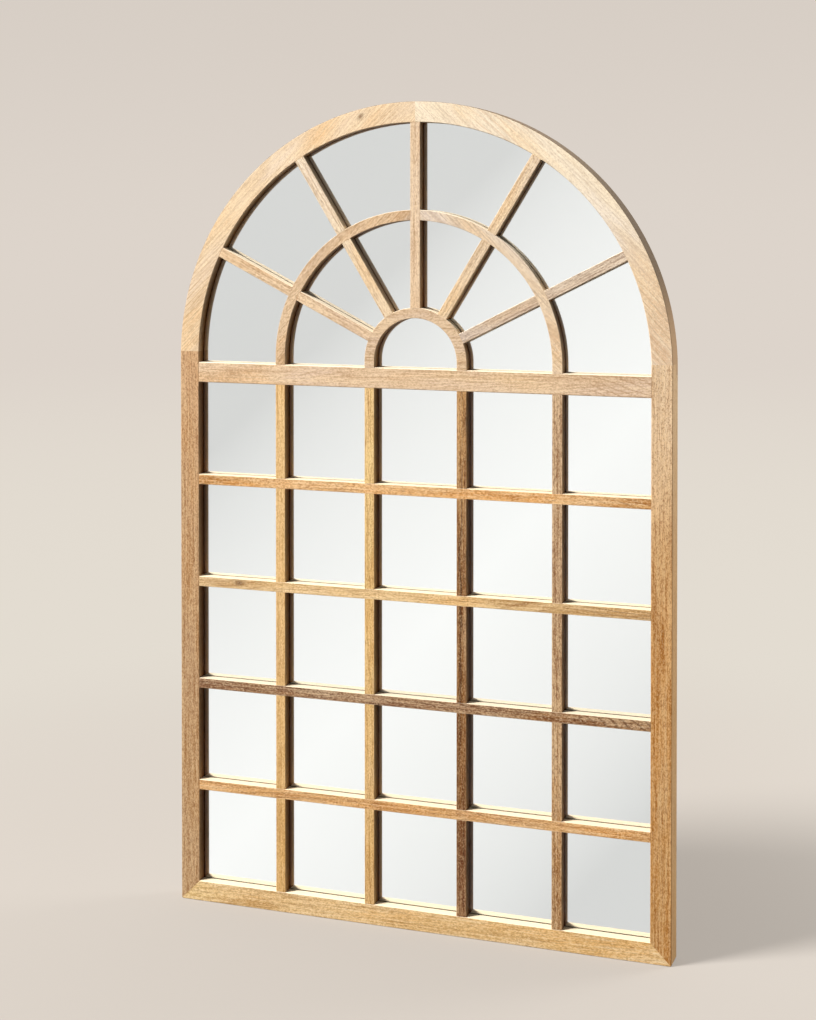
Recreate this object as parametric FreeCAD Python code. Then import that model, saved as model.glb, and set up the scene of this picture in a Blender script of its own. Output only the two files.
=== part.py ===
import FreeCAD, Part
import math
import os

# Arched window mirror: a mitred wooden frame with a round head, a lattice of
# cross-halved glazing bars with a fan of spokes above it, one sheet of mirror
# glass behind the lattice, a back board held by flat tabs, and two ring hangers.
# Millimetres. X to the right seen from the front, Y towards the wall, Z up.
# The origin is the centre of the bottom rail's underside, at half the depth.

# Frame
overall_width = 1000.0
overall_height = 1600.0
frame_depth = 45.0
frame_width = 40.0
frame_ease = 1.0            # chamfer on the frame's front edges
foot_round = 3.0            # radius of the two bottom corners
joint_rise = 8.0            # height of the stile and arch joint above the arch centre
lap_depth = 15.0            # thickness of the tongue behind each springing joint

# Lattice
bar_width = 20.0
bar_depth = 20.0
bar_ease = 0.6
transom_height = frame_width
transom_drop = 13.5         # from the arch centre down to the transom's top
panes_across = 5
panes_up = 5
spoke_step = 31.6           # degrees between spokes
spokes_each_side = 2

# Joinery
tenon_thickness = 8.0
tenon_shoulder = 3.0
bar_tenon = 12.0
transom_tenon = 20.0
inner_arch_tenon = 8.0
crown_tenon = 6.0           # of the middle arch in the centre spoke
fit_gap = 0.1               # round tenons, laps, splines and screws
end_gap = 0.5               # past the end of a tenon, spline or tab
overcut = 1.0               # how far a cutter passes the face that it opens
spline_thickness = 4.0
spline_width = frame_width / 2
spline_length = frame_width * 0.7

# Glass and back board
glass_thickness = 4.0
glass_ledge = 8.0           # width of the lip that the glass lies on
glass_edge_gap = 0.8
board_thickness = 6.0
board_ledge = 8.0           # width of the step that the board lies on
board_edge_gap = 0.5
tab_width = 8.0             # flat steel tabs, driven into the rebate's wall
tab_gauge = 0.8
tab_bite = 6.0              # in the wood
tab_cover = 8.0             # out over the board

# Screws: shank diameter, length, head diameter, head height
lap_screw = (4.0, 30.0, 8.0, 2.2)
strap_screw = (3.5, 16.0, 6.4, 1.6)
pan_taper = 0.7             # of a pan head's top to its foot
screw_flats = 12            # sides that a screw's round sections are drawn with

# Ring hangers
strap_width = 14.0
strap_gauge = 1.2
strap_length = 42.0         # from the ring's pin to the strap's rounded end
strap_inset = 12.0          # from the frame's outer side to the strap's middle
pin_drop = 16.0             # from the arch centre down to the ring's pin
wire_diameter = 3.0
pin_clearance = 0.08        # radial, between the ring's bar and the strap's eye
ring_half_width = 10.0      # to the middle of the wire
ring_corner = 2.5
ring_leg = 8.0              # from the pin to where the ring's bow begins
wire_flats = 8              # sides that the wire's round section is drawn with
ring_rest_tilt = 1.0        # degrees that the hanging ring stands off the strap
strap_screw_drops = (24.0, 35.0)

# Planes and places that follow from the sizes
y_front = -frame_depth / 2
y_back = frame_depth / 2
y_glass = y_front + bar_depth
y_board = y_glass + glass_thickness
y_recess = y_board + board_thickness
y_tenon = y_front + (bar_depth - tenon_thickness) / 2
y_half = y_front + bar_depth / 2

outer_radius = overall_width / 2
opening_radius = outer_radius - frame_width
arch_z = overall_height - outer_radius
joint_z = arch_z + joint_rise
transom_top = arch_z - transom_drop
transom_bottom = transom_top - transom_height

column_pitch = (2 * opening_radius + bar_width) / panes_across
row_pitch = (transom_bottom - frame_width + bar_width) / panes_up
column_x = [(i - panes_across / 2) * column_pitch for i in range(1, panes_across)]
row_z = [frame_width - bar_width / 2 + i * row_pitch for i in range(1, panes_up)]
middle_radius = column_x[-1]
inner_radius = column_x[-2]
side_spokes = [i for i in range(-spokes_each_side, spokes_each_side + 1) if i]
spoke_angles = {i: 90.0 - i * spoke_step for i in side_spokes}

board_radius = opening_radius + glass_ledge + board_ledge
strap_x = outer_radius - strap_inset
pin_z = arch_z - pin_drop
eye_inner = wire_diameter / 2 + pin_clearance
eye_outer = eye_inner + strap_gauge
pin_y = y_back + eye_outer

axis_x = FreeCAD.Vector(1, 0, 0)
axis_y = FreeCAD.Vector(0, 1, 0)
axis_z = FreeCAD.Vector(0, 0, 1)


def point(x, y, z):
    return FreeCAD.Vector(x, y, z)


def block(x0, x1, y0, y1, z0, z1):
    return Part.makeBox(x1 - x0, y1 - y0, z1 - z0, point(x0, y0, z0))


def rod(diameter, length, start, direction):
    return Part.makeCylinder(diameter / 2, length, start, direction)


def arched_slab(half_width, z0, y0, y1):
    # A rectangle with a half-round head about the arch centre, y1 - y0 thick.
    corners = [
        point(-half_width, y0, arch_z),
        point(-half_width, y0, z0),
        point(half_width, y0, z0),
        point(half_width, y0, arch_z),
    ]
    edges = [Part.LineSegment(a, b).toShape() for a, b in zip(corners, corners[1:])]
    crown = point(0, y0, arch_z + half_width)
    edges.append(Part.Arc(corners[3], crown, corners[0]).toShape())
    return Part.Face(Part.Wire(edges)).extrude(axis_y * (y1 - y0))


def eased(solid, size):
    # Chamfers every edge that lies in the front plane.
    edges = []
    for edge in solid.Edges:
        box = edge.BoundBox
        if box.YMax < y_front + fit_gap:
            edges.append(edge)
    return solid.makeChamfer(size, edges)


def bar_section(across, place):
    # The bar's section, eased at its two front corners, as a face through place.
    half = bar_width / 2
    outline = [
        (-half, y_glass),
        (half, y_glass),
        (half, y_front + bar_ease),
        (half - bar_ease, y_front),
        (bar_ease - half, y_front),
        (-half, y_front + bar_ease),
    ]
    points = [place + across * u + axis_y * y for u, y in outline]
    return Part.Face(Part.makePolygon(points + points[:1]))


def straight_bar(start, direction, length):
    across = direction.cross(axis_y)
    return bar_section(across, start).extrude(direction * length)


def stub(x, z, angle, width, length, gap=0.0):
    # A tenon that leaves (x, z) at an angle from +X towards +Z. With a gap it is
    # the cutter of the mortise.
    half = width / 2 - tenon_shoulder + gap
    reach = length + end_gap if gap else length
    root = tenon_shoulder
    shape = block(-root, reach, y_tenon - gap, y_tenon + tenon_thickness + gap, -half, half)
    shape.rotate(point(0, 0, 0), axis_y, -angle)
    shape.translate(point(x, 0, z))
    return shape


def on_fan(radius, angle):
    turn = math.radians(angle)
    return radius * math.cos(turn), arch_z + radius * math.sin(turn)


def cut_all(solid, cutters):
    for cutter in cutters:
        solid = solid.cut(cutter)
    return solid


def fuse_all(solid, others):
    for other in others:
        solid = solid.fuse(other)
    return solid.removeSplitter()


# Tenons, each as the arguments of stub() without its gap

row_tenons = {
    side: [(side * opening_radius, z, 90 - 90 * side, bar_width, bar_tenon) for z in row_z]
    for side in (-1, 1)
}
column_feet = [(x, frame_width, 270, bar_width, bar_tenon) for x in column_x]
column_heads = [(x, transom_bottom, 90, bar_width, bar_tenon) for x in column_x]
transom_mid = (transom_top + transom_bottom) / 2
transom_ends = {
    side: (side * opening_radius, transom_mid, 90 - 90 * side, transom_height, transom_tenon)
    for side in (-1, 1)
}
middle_feet = {side: (side * middle_radius, transom_top, 270, bar_width, bar_tenon) for side in (-1, 1)}
inner_feet = {side: (side * inner_radius, transom_top, 270, bar_width, bar_tenon) for side in (-1, 1)}
middle_crowns = {
    side: (side * bar_width / 2, arch_z + middle_radius, 90 + 90 * side, bar_width, crown_tenon)
    for side in (-1, 1)
}


def spoke_head(angle):
    return (*on_fan(opening_radius, angle), angle, bar_width, bar_tenon)


def spoke_foot(angle):
    return (*on_fan(inner_radius + bar_width / 2, angle), angle + 180, bar_width, inner_arch_tenon)


all_angles = [90.0] + list(spoke_angles.values())


# Frame

def frame_blank():
    # The whole frame in one piece, with its two rear rebates and eased front.
    blank = arched_slab(outer_radius, 0, y_front, y_back)
    corners = []
    for edge in blank.Edges:
        box = edge.BoundBox
        if box.ZMax < fit_gap and box.XLength < fit_gap:
            corners.append(edge)
    blank = blank.makeFillet(foot_round, corners)
    blank = blank.cut(arched_slab(opening_radius, frame_width, y_front, y_back))
    blank = eased(blank, frame_ease)
    ledge = glass_ledge
    blank = blank.cut(arched_slab(opening_radius + ledge, frame_width - ledge, y_glass, y_back))
    ledge += board_ledge
    return blank.cut(arched_slab(opening_radius + ledge, frame_width - ledge, y_board, y_back))


def mitre_wedge(side):
    # Everything on the stile's side of the bottom mitre, up to the arch joint.
    reach = outer_radius + frame_width
    corners = [
        point(side * (outer_radius - frame_width), y_front - overcut, frame_width),
        point(side * reach, y_front - overcut, -frame_width),
        point(side * reach, y_front - overcut, joint_z),
        point(side * (outer_radius - 2 * frame_width), y_front - overcut, joint_z),
        point(side * (outer_radius - 2 * frame_width), y_front - overcut, 2 * frame_width),
    ]
    face = Part.Face(Part.makePolygon(corners + corners[:1]))
    return face.extrude(axis_y * (frame_depth + 2 * overcut))


def lap_block(side, gap=0.0):
    # The tongue of the arch behind the top of the stile.
    inside = board_radius - frame_width
    outside = outer_radius + overcut
    x0, x1 = sorted((side * inside, side * outside))
    return block(x0, x1, y_back - lap_depth, y_back + overcut, transom_top - gap, joint_z + overcut)


def spline(x, z, angle, gap=0.0):
    # A flat loose tongue across a joint, long in the direction angle from +Z.
    long = spline_length / 2 + (end_gap if gap else 0)
    wide = spline_width / 2 + gap
    thick = spline_thickness / 2 + gap
    shape = block(-wide, wide, y_half - thick, y_half + thick, -long, long)
    shape.rotate(point(0, 0, 0), axis_y, angle)
    shape.translate(point(x, 0, z))
    return shape


frame_middle = outer_radius - frame_width / 2
mitre_splines = {side: (side * frame_middle, frame_width / 2, side * 135) for side in (-1, 1)}
springing_splines = {side: (side * frame_middle, joint_z, 0) for side in (-1, 1)}
# Midway between the end of the centre spoke's mortise and the outside.
crown_spline = (0, arch_z + (opening_radius + bar_tenon + outer_radius) / 2, 90)


def left_or_right_stile(side, blank):
    stile = blank.common(mitre_wedge(side)).cut(lap_block(side, fit_gap))
    cutters = [stub(*t, gap=fit_gap) for t in row_tenons[side] + [transom_ends[side]]]
    cutters += [spline(*t, gap=fit_gap) for t in (mitre_splines[side], springing_splines[side])]
    cutters.append(countersunk_hole(lap_screw, lap_screw_place(side)))
    cutters += [pan_screw_hole(strap_screw, p) for p in strap_screw_places(side)]
    cutters += [board_tab(*t, gap=fit_gap) for t in tab_places() if t[0] * side == board_radius]
    return cut_all(stile, cutters)


def bottom_rail(blank):
    rail = cut_all(blank, [mitre_wedge(-1), mitre_wedge(1)])
    rail = rail.common(block(-outer_radius, outer_radius, y_front, y_back, 0, frame_width))
    cutters = [stub(*t, gap=fit_gap) for t in column_feet]
    cutters += [spline(*t, gap=fit_gap) for t in mitre_splines.values()]
    cutters += [board_tab(*t, gap=fit_gap) for t in tab_places() if t[1] < frame_width]
    return cut_all(rail, cutters)


def arch_half(side, blank):
    x0, x1 = sorted((0, side * (outer_radius + overcut)))
    room = block(x0, x1, y_front - overcut, y_back + overcut, joint_z, overall_height + overcut)
    half = blank.common(room.fuse(lap_block(side)))
    cutters = [stub(*spoke_head(angle), gap=fit_gap) for angle in all_angles]
    cutters += [spline(*t, gap=fit_gap) for t in (springing_splines[side], crown_spline)]
    cutters.append(countersunk_hole(lap_screw, lap_screw_place(side)))
    cutters += [board_tab(*t, gap=fit_gap) for t in tab_places() if t[1] > joint_z]
    return cut_all(half, cutters)


# Lattice

def transom():
    body = block(-opening_radius, opening_radius, y_front, y_glass, transom_bottom, transom_top)
    long_edges = []
    for edge in body.Edges:
        box = edge.BoundBox
        if box.YMax < y_front + fit_gap and box.XLength > transom_height:
            long_edges.append(edge)
    body = body.makeChamfer(frame_ease, long_edges)
    body = fuse_all(body, [stub(*t) for t in transom_ends.values()])
    feet = list(middle_feet.values()) + list(inner_feet.values())
    return cut_all(body, [stub(*t, gap=fit_gap) for t in column_heads + feet])


def crossing(x, z, front, gap):
    # The half of a bar crossing that is cut away: the front half or the back half.
    half = bar_width / 2 + gap
    y0, y1 = (y_front - overcut, y_half) if front else (y_half, y_glass + overcut)
    return x - half, x + half, y0, y1, z - half, z + half


def row_bar(index):
    z = row_z[index]
    body = straight_bar(point(-opening_radius, 0, z), axis_x, 2 * opening_radius)
    body = fuse_all(body, [stub(*row_tenons[side][index]) for side in (-1, 1)])
    laps = []
    for x in column_x:
        x0, x1, y0, y1, z0, z1 = crossing(x, z, False, fit_gap)
        laps.append(block(x0, x1, y0, y1, z0 - overcut, z1 + overcut))
    return cut_all(body, laps)


def column_bar(index):
    x = column_x[index]
    body = straight_bar(point(x, 0, frame_width), axis_z, transom_bottom - frame_width)
    body = fuse_all(body, [stub(*column_feet[index]), stub(*column_heads[index])])
    laps = []
    for z in row_z:
        x0, x1, y0, y1, z0, z1 = crossing(x, z, True, 0)
        laps.append(block(x0 - overcut, x1 + overcut, y0, y1, z0, z1))
    return cut_all(body, laps)


def arch_band(radius, grow=0.0):
    # A bar bent to a half circle on two short legs that stand on the transom.
    below = transom_top - bar_width
    half = bar_width / 2 + grow
    band = arched_slab(radius + half, below, y_front, y_glass)
    band = band.cut(arched_slab(radius - half, below, y_front, y_glass))
    band = eased(band, bar_ease)
    reach = radius + bar_width
    return band.common(block(-reach, reach, y_front, y_glass, transom_top, arch_z + reach))


def side_spoke_blank(angle):
    # From inside the inner arch to inside the frame, before its ends are cut.
    start = inner_radius
    turn = math.radians(angle)
    direction = point(math.cos(turn), 0, math.sin(turn))
    place = point(0, 0, arch_z) + direction * start
    return straight_bar(place, direction, outer_radius - start)


def fan_zone():
    # Between the inner arch's outside and the frame's opening.
    zone = arched_slab(opening_radius, transom_top, y_front, y_glass)
    return zone.cut(arched_slab(inner_radius + bar_width / 2, transom_top, y_front, y_glass))


def middle_ring(y0, y1):
    outer = arched_slab(middle_radius + bar_width / 2, transom_top, y0, y1)
    return outer.cut(arched_slab(middle_radius - bar_width / 2, transom_top, y0, y1))


def side_spoke(angle):
    body = side_spoke_blank(angle).common(fan_zone())
    body = fuse_all(body, [stub(*spoke_head(angle)), stub(*spoke_foot(angle))])
    return body.cut(middle_ring(y_front - overcut, y_half))


def centre_spoke():
    body = side_spoke_blank(90.0).common(fan_zone())
    body = fuse_all(body, [stub(*spoke_head(90.0)), stub(*spoke_foot(90.0))])
    return cut_all(body, [stub(*t, gap=fit_gap) for t in middle_crowns.values()])


def middle_arch(side):
    reach = middle_radius + bar_width
    x0, x1 = sorted((side * bar_width / 2, side * reach))
    half = arch_band(middle_radius)
    half = half.common(block(x0, x1, y_front, y_glass, transom_top, arch_z + reach))
    half = fuse_all(half, [stub(*middle_feet[side]), stub(*middle_crowns[side])])
    laps = []
    for step, angle in spoke_angles.items():
        if step * side > 0:
            laps.append(spoke_lap(angle))
    return cut_all(half, laps)


def spoke_lap(angle):
    # The back half of the middle arch that a spoke passes through.
    half = bar_width / 2 + fit_gap
    near = middle_radius - bar_width
    far = middle_radius + bar_width
    shape = block(near, far, y_half, y_glass + overcut, -half, half)
    shape.rotate(point(0, 0, 0), axis_y, -angle)
    shape.translate(point(0, 0, arch_z))
    return shape


def inner_arch():
    band = fuse_all(arch_band(inner_radius), [stub(*t) for t in inner_feet.values()])
    return cut_all(band, [stub(*spoke_foot(angle), gap=fit_gap) for angle in all_angles])


# Glass and back board

def mirror_glass():
    reach = glass_ledge - glass_edge_gap
    return arched_slab(opening_radius + reach, frame_width - reach, y_glass, y_board)


def back_board():
    reach = glass_ledge + board_ledge - board_edge_gap
    return arched_slab(opening_radius + reach, frame_width - reach, y_board, y_recess)


def tab_places():
    # On the rebate's wall, as x, z and the angle outwards: one beside each edge
    # pane and one in each gap of the fan.
    places = []
    for z in [frame_width - bar_width / 2] + row_z:
        middle = z + row_pitch / 2
        places += [(side * board_radius, middle, 90 - 90 * side) for side in (-1, 1)]
    for x in column_x + [column_x[-1] + column_pitch]:
        places.append((x - column_pitch / 2, frame_width - glass_ledge - board_ledge, 270))
    bounds = [0.0] + sorted(all_angles) + [180.0]
    for low, high in zip(bounds, bounds[1:]):
        angle = (low + high) / 2
        places.append((*on_fan(board_radius, angle), angle))
    return places


def board_tab(x, z, angle, gap=0.0):
    half = tab_width / 2 + gap
    reach = tab_bite + end_gap if gap else tab_bite
    shape = block(-tab_cover, reach, y_recess - gap, y_recess + tab_gauge + gap, -half, half)
    shape.rotate(point(0, 0, 0), axis_y, -angle)
    shape.translate(point(x, 0, z))
    return shape


# Screws, driven towards the front from the given place of their head's top

def turned(place, sections):
    # A screw's body from pairs of the depth below place and the diameter there.
    wires = []
    for depth, diameter in sections:
        corners = []
        for i in range(screw_flats + 1):
            turn = math.tau * i / screw_flats
            offset = axis_x * math.cos(turn) + axis_z * math.sin(turn)
            corners.append(place + offset * (diameter / 2) - axis_y * depth)
        wires.append(Part.makePolygon(corners))
    return Part.makeLoft(wires, True, True)


def countersunk_screw(size, place):
    shank, length, head, head_height = size
    return turned(place, [(0, head), (head_height, shank), (length, shank)])


def countersunk_hole(size, place):
    shank, length, head, head_height = size
    cone = Part.makeCone(head / 2 + fit_gap, shank / 2 + fit_gap, head_height, place, -axis_y)
    return cone.fuse(rod(shank + 2 * fit_gap, length + end_gap, place, -axis_y))


def pan_screw(size, place):
    shank, length, head, head_height = size
    cap = turned(place, [(-head_height, head * pan_taper), (0, head)])
    return cap.fuse(turned(place, [(0, shank), (length + strap_gauge, shank)]))


def pan_screw_hole(size, place):
    shank, length, head, head_height = size
    return rod(shank + 2 * fit_gap, length + strap_gauge + end_gap, place, -axis_y)


def lap_screw_place(side):
    return point(side * (outer_radius + board_radius) / 2, y_back, (joint_z + transom_top) / 2)


def strap_screw_places(side):
    return [point(side * strap_x, y_back + strap_gauge, pin_z - drop) for drop in strap_screw_drops]


# Ring hangers

def hanger_strap(side):
    x0 = side * strap_x - strap_width / 2
    straight = strap_length - strap_width / 2
    leaf = block(x0, x0 + strap_width, y_back, y_back + strap_gauge, pin_z - straight, pin_z)
    end = rod(strap_width, strap_gauge, point(side * strap_x, y_back, pin_z - straight), axis_y)
    eye = rod(2 * eye_outer, strap_width, point(x0, pin_y, pin_z), axis_x)
    strap = fuse_all(leaf, [end, eye])
    strap = strap.cut(rod(2 * eye_inner, strap_width, point(x0, pin_y, pin_z), axis_x))
    return cut_all(strap, [pan_screw_hole(strap_screw, p) for p in strap_screw_places(side)])


def wire_section(place, across):
    # The wire's section at a point of the ring, where across leads out of the ring.
    corners = []
    for i in range(wire_flats + 1):
        turn = math.tau * (i + 0.5) / wire_flats
        offset = across * math.cos(turn) + axis_y * math.sin(turn)
        corners.append(place + offset * (wire_diameter / 2))
    return Part.Face(Part.makePolygon(corners))


def hanger_ring(side):
    # A wire bent to a D: a straight bar in the eye, two legs and a half-round bow.
    wide = ring_half_width
    bend = ring_corner
    bar = wire_section(point(bend - wide, 0, 0), axis_z).extrude(axis_x * 2 * (wide - bend))
    bow = wire_section(point(wide, 0, -ring_leg), axis_x)
    pieces = [bow.revolve(point(0, 0, -ring_leg), axis_y, 180)]
    for hand in (-1, 1):
        leg = wire_section(point(hand * wide, 0, -bend), axis_x)
        pieces.append(leg.extrude(axis_z * (bend - ring_leg)))
        pieces.append(leg.revolve(point(hand * (wide - bend), 0, -bend), axis_y, -90 * hand))
    ring = fuse_all(bar, pieces)
    ring.rotate(point(0, 0, 0), axis_x, ring_rest_tilt)
    ring.translate(point(side * strap_x, pin_y, pin_z))
    return ring


def build():
    blank = frame_blank()
    parts = {
        "bottom_rail": bottom_rail(blank),
        "left_stile": left_or_right_stile(-1, blank),
        "right_stile": left_or_right_stile(1, blank),
        "left_arch": arch_half(-1, blank),
        "right_arch": arch_half(1, blank),
        "transom": transom(),
        "middle_arch_left": middle_arch(-1),
        "middle_arch_right": middle_arch(1),
        "inner_arch": inner_arch(),
        "centre_spoke": centre_spoke(),
        "mirror_glass": mirror_glass(),
        "back_board": back_board(),
    }
    for index in range(len(row_z)):
        parts[f"row_bar_{index + 1}"] = row_bar(index)
    for index in range(len(column_x)):
        parts[f"column_bar_{index + 1}"] = column_bar(index)
    for step, angle in spoke_angles.items():
        hand = "left" if step < 0 else "right"
        place = "upper" if abs(step) < spokes_each_side else "lower"
        parts[f"{place}_{hand}_spoke"] = side_spoke(angle)
    sides = {"left": -1, "right": 1}
    for hand, side in sides.items():
        parts[f"{hand}_hanger_strap"] = hanger_strap(side)
        parts[f"{hand}_hanger_ring"] = hanger_ring(side)
    groups = {
        "mitre_splines": [spline(*t) for t in mitre_splines.values()],
        "springing_splines": [spline(*t) for t in springing_splines.values()],
        "crown_spline": [spline(*crown_spline)],
        "lap_screws": [countersunk_screw(lap_screw, lap_screw_place(side)) for side in (-1, 1)],
        "board_tabs": [board_tab(*place) for place in tab_places()],
        "strap_screws": [pan_screw(strap_screw, p) for side in (-1, 1) for p in strap_screw_places(side)],
    }
    for name, solids in groups.items():
        parts[name] = Part.makeCompound(solids)
    return parts


os.makedirs("parts", exist_ok=True)
for name, shape in build().items():
    shape.exportStep(f"parts/{name}.step")
    print(name, len(shape.Solids), "solid(s)", round(shape.Volume / 1000, 2), "cm3", shape.isValid())
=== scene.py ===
import math
import bmesh
import bpy
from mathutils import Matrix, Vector


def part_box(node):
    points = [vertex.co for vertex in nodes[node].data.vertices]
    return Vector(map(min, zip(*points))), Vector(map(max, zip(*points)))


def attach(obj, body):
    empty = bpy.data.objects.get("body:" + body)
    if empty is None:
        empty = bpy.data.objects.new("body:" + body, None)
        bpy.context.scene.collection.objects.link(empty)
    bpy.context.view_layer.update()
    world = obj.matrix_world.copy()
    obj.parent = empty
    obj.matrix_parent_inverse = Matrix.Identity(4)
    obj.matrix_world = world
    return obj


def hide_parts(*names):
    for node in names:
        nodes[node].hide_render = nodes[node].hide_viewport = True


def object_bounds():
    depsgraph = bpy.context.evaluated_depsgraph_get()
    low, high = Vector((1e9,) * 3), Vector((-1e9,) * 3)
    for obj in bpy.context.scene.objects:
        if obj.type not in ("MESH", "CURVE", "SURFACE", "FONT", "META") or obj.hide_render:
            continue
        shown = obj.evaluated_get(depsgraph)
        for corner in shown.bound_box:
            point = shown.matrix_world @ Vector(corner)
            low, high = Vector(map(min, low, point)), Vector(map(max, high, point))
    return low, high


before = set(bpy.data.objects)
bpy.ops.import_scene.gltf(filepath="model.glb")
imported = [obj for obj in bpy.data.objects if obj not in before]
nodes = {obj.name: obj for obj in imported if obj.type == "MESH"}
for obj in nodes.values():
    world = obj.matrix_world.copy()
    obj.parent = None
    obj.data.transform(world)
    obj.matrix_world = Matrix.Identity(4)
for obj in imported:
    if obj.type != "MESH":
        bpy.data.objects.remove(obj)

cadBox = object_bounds()

# Places read from the frame. Metres, +Z up, the front face looks along -Y.
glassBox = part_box("mirror_glass")
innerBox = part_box("inner_arch")
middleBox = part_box("middle_arch_right")
overallWidth = cadBox[1][0] - cadBox[0][0]
overallHeight = cadBox[1][2] - cadBox[0][2]
outerRadius = overallWidth / 2
archHeight = overallHeight - outerRadius    # the height of the arch's centre
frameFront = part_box("bottom_rail")[0][1]


def colour(red, green, blue):
    # a colour as a painter reads it, 0 to 255, as the linear values that a shader takes
    linear = []
    for part in (red, green, blue):
        share = part / 255
        linear.append(share / 12.92 if share <= 0.04045 else ((share + 0.055) / 1.055) ** 2.4)
    return (*linear, 1.0)


class Wire:
    # one socket of a node tree, so that shader maths reads as sums

    def __init__(self, tree, socket):
        self.tree = tree
        self.socket = socket

    def math(self, operation, *values):
        node = self.tree.nodes.new("ShaderNodeMath")
        node.operation = operation
        for place, value in enumerate(values):
            feed(self.tree, node.inputs[place], value)
        return Wire(self.tree, node.outputs[0])

    def __add__(self, other):
        return self.math("ADD", self, other)

    def __radd__(self, other):
        return self.math("ADD", other, self)

    def __sub__(self, other):
        return self.math("SUBTRACT", self, other)

    def __rsub__(self, other):
        return self.math("SUBTRACT", other, self)

    def __mul__(self, other):
        return self.math("MULTIPLY", self, other)

    def __rmul__(self, other):
        return self.math("MULTIPLY", other, self)

    def __truediv__(self, other):
        return self.math("DIVIDE", self, other)

    def __pow__(self, other):
        return self.math("POWER", self, other)

    def __abs__(self):
        return self.math("ABSOLUTE", self)

    def root(self):
        return self.math("SQRT", self)

    def wave(self):
        return self.math("SINE", self)

    def fade(self):
        # 1 at zero, falling off like a bell when fed a squared distance
        return self.math("POWER", math.e, self * -1)

    def clamped(self):
        return self.math("MINIMUM", self.math("MAXIMUM", self, 0.0), 1.0)

    def between(self, low, high):
        # 0 below low, 1 above high and a soft step between
        share = ((self - low) / (high - low)).clamped()
        return share * share * (3 - share * 2)


def feed(tree, socket, value):
    if isinstance(value, Wire):
        tree.links.new(value.socket, socket)
    else:
        socket.default_value = value


class Recipe:
    # a material or world that is put together node by node

    def __init__(self, tree):
        self.tree = tree
        tree.nodes.clear()

    def node(self, kind, settings=None, inputs=None, output=0):
        made = self.tree.nodes.new(kind)
        for name, value in (settings or {}).items():
            if name == "stops":
                fillRamp(made.color_ramp, value)
            else:
                setattr(made, name, value)
        for name, value in (inputs or {}).items():
            feed(self.tree, made.inputs[name], value)
        return Wire(self.tree, made.outputs[output]) if made.outputs else None

    def noise(self, vector, scale=1.0, detail=2.0, roughness=0.5, distortion=0.0):
        inputs = {"Vector": vector, "Scale": scale, "Detail": detail, "Roughness": roughness}
        inputs["Distortion"] = distortion
        return self.node("ShaderNodeTexNoise", {"noise_dimensions": "3D"}, inputs)

    def stretch(self, vector, scale, shift=0.0):
        inputs = {"Vector": vector, "Scale": scale, "Location": (shift, shift * 0.7, shift * 1.3)}
        return self.node("ShaderNodeMapping", inputs=inputs)

    def mix(self, first, second, share, blend="MIX"):
        settings = {"data_type": "RGBA", "blend_type": blend, "clamp_factor": True}
        inputs = {0: share, 6: first, 7: second}
        return self.node("ShaderNodeMix", settings, inputs, 2)

    def apart(self, vector):
        made = self.tree.nodes.new("ShaderNodeSeparateXYZ")
        feed(self.tree, made.inputs[0], vector)
        return [Wire(self.tree, made.outputs[i]) for i in range(3)]


def fillRamp(ramp, stops):
    while len(ramp.elements) > 1:
        ramp.elements.remove(ramp.elements[0])
    ramp.elements[0].position, ramp.elements[0].color = stops[0]
    for position, shade in stops[1:]:
        ramp.elements.new(position).color = shade


def newMaterial(name):
    material = bpy.data.materials.new(name)
    material.use_nodes = True
    return material, Recipe(material.node_tree)


def finishMaterial(recipe, surface):
    recipe.node("ShaderNodeOutputMaterial", inputs={"Surface": surface})


def bumped(recipe, height, depth, strength=1.0):
    return recipe.node("ShaderNodeBump", inputs={"Height": height, "Distance": depth, "Strength": strength})


def plainObject(name, shape):
    bmesh.ops.recalc_face_normals(shape, faces=shape.faces[:])
    mesh = bpy.data.meshes.new(name)
    shape.to_mesh(mesh)
    shape.free()
    made = bpy.data.objects.new(name, mesh)
    bpy.context.scene.collection.objects.link(made)
    return made


# Wood. One board for each member, cut from a log whose heart runs along the grain
# beside it, so that faces, sides and ends all show the same rings.

woodFinish = {
    "ringPitch": 0.0050,      # between dark ring lines
    "heart": (0.05, 0.04),    # of the log, across from the board's middle and behind it
    "spread": 38,             # from the board's tone to its pale and its dark wood
    "paleEnd": (255, 232, 194),
    "flecks": 0.19,           # short dashes
    "grit": 0.50,             # fine speckle, as of sawn and brushed wood
    "poreDepth": 0.00025,
    "gloss": 0.52,            # roughness of the satin finish
    "edgeWidth": 0.0016,      # of the pale edges, worn wood and a painted highlight of their rounding
    "sideShadeStrength": 0.95,        # how strongly an inner side is darkened towards the glass, as painted shade
    "sideShadeTone": (144, 102, 32),
    "topPaintedLight": 0.58,         # how strongly upward faces are lightened, as painted light
    "topPaintedTone": (255, 243, 216),
    "rimShow": 0.9,           # the head's outer rim, at the springing and up at the crown
    "rimLow": (196, 158, 118),
    "rimHigh": (104, 80, 52),
}

# The tones of the boards, 0 to 255, from pale to dark
woodTones = {
    "milk": (250, 235, 210),
    "cream": (245, 220, 185),
    "shell": (235, 215, 190),
    "corn": (250, 220, 155),
    "straw": (245, 210, 155),
    "oat": (235, 205, 170),
    "ash": (220, 200, 180),
    "biscuit": (225, 195, 160),
    "wheat": (240, 190, 130),
    "honey": (230, 185, 120),
    "sand": (220, 180, 140),
    "dust": (190, 170, 150),
    "caramel": (220, 170, 110),
    "fawn": (210, 170, 130),
    "tan": (195, 155, 110),
    "amber": (200, 150, 90),
    "hazel": (170, 130, 95),
    "chestnut": (155, 110, 65),
    "umber": (105, 70, 45),
    "walnut": (90, 50, 30),
    "bog": (55, 35, 25),
}


def woodColour(name):
    return colour(*woodTones[name])


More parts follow.
